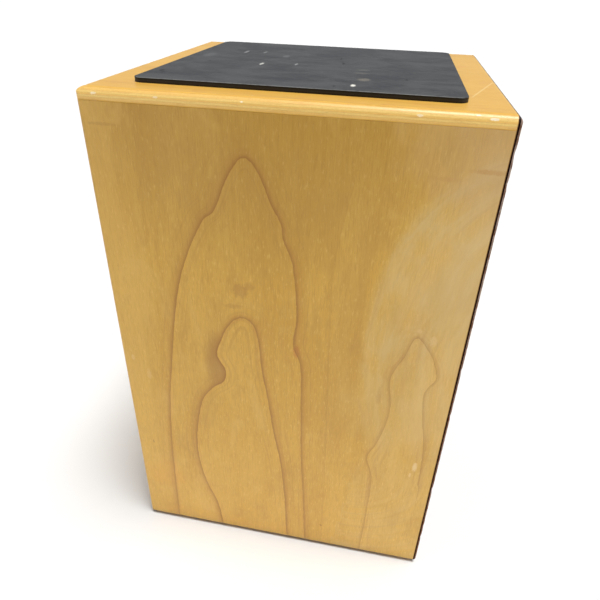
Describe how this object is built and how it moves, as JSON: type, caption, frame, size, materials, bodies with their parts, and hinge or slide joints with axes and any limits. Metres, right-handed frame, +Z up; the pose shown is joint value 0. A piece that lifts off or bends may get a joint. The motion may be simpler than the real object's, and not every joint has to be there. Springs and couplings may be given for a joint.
{
  "type": "cajon",
  "caption": "Box drum to sit on: clear-finished plywood body, thin dark playing plate, round sound hole at the back, rubber seat pad and snare strings tuned from below.",
  "frame": {"origin": "on the floor, under the middle of the box", "axes": "+Z up; the tapa (playing face) faces -Y and the sound hole faces +Y; left is -X, as seen by someone facing the tapa"},
  "size_m": [0.29, 0.303, 0.4785],
  "materials": {
    "plywood_clear": "clear satin lacquer over light veneer",
    "tapa_veneer": "dark stained veneer, satin",
    "batten_wood": "sawn softwood, unfinished",
    "block_beech": "planed beech, unfinished",
    "black_rubber": "matt, slightly dusty",
    "foot_rubber": "moulded, matt",
    "black_steel": "black oxide",
    "zinc_steel": "zinc plated",
    "brass_fittings": "machined",
    "string_steel": "wound music wire"
  },
  "bodies": {
    "box": {"top_panel": "plywood_clear", "bottom_panel": "plywood_clear", "left_side_panel": "plywood_clear", "right_side_panel": "plywood_clear", "back_panel": "plywood_clear", "tapa": "tapa_veneer", "tapa_screws": "black_steel", "block_screws": "zinc_steel", "seat_pad": "black_rubber", "front_batten_top": "batten_wood", "front_batten_left": "batten_wood", "front_batten_right": "batten_wood", "front_batten_bottom_left": "batten_wood", "front_batten_bottom_right": "batten_wood", "back_batten_top": "batten_wood", "back_batten_bottom": "batten_wood", "back_batten_left": "batten_wood", "back_batten_right": "batten_wood", "foot_front_left": "foot_rubber", "foot_front_right": "foot_rubber", "foot_back_left": "foot_rubber", "foot_back_right": "foot_rubber", "foot_washers": "zinc_steel", "foot_screws": "zinc_steel", "adjuster_block": "block_beech", "adjuster_washers": "zinc_steel", "string_anchors": "brass_fittings"},
    "tuner_left": {"adjuster_screw_left": "black_steel", "screw_clip_left": "zinc_steel"},
    "carriage_left": {"string_carriage_left": "brass_fittings", "string_ends_left": "brass_fittings", "string_left_outer": "string_steel", "string_left_inner": "string_steel"},
    "tuner_right": {"adjuster_screw_right": "black_steel", "screw_clip_right": "zinc_steel"},
    "carriage_right": {"string_carriage_right": "brass_fittings", "string_ends_right": "brass_fittings", "string_right_outer": "string_steel", "string_right_inner": "string_steel"}
  },
  "joints": [
    {"name": "string_tuner_left", "type": "hinge", "parent": "box", "child": "tuner_left", "pos_m": [-0.035, -0.131, 0.02], "axis": [0, 0, 1], "range_deg": [-1080, 1080]},
    {"name": "string_pull_left", "type": "slide", "parent": "box", "child": "carriage_left", "axis": [0, 0, 1], "range_m": [-0.0024, 0.0024], "deforming": ["string_left_outer", "string_left_inner"]},
    {"name": "string_tuner_right", "type": "hinge", "parent": "box", "child": "tuner_right", "pos_m": [0.035, -0.131, 0.02], "axis": [0, 0, 1], "range_deg": [-1080, 1080]},
    {"name": "string_pull_right", "type": "slide", "parent": "box", "child": "carriage_right", "axis": [0, 0, 1], "range_m": [-0.0024, 0.0024], "deforming": ["string_right_outer", "string_right_inner"]}
  ],
  "couplings": [
    {"joint": "string_tuner_left", "follows": "string_pull_left", "rad_per_m": -7853.9},
    {"joint": "string_tuner_right", "follows": "string_pull_right", "rad_per_m": -7853.9}
  ]
}
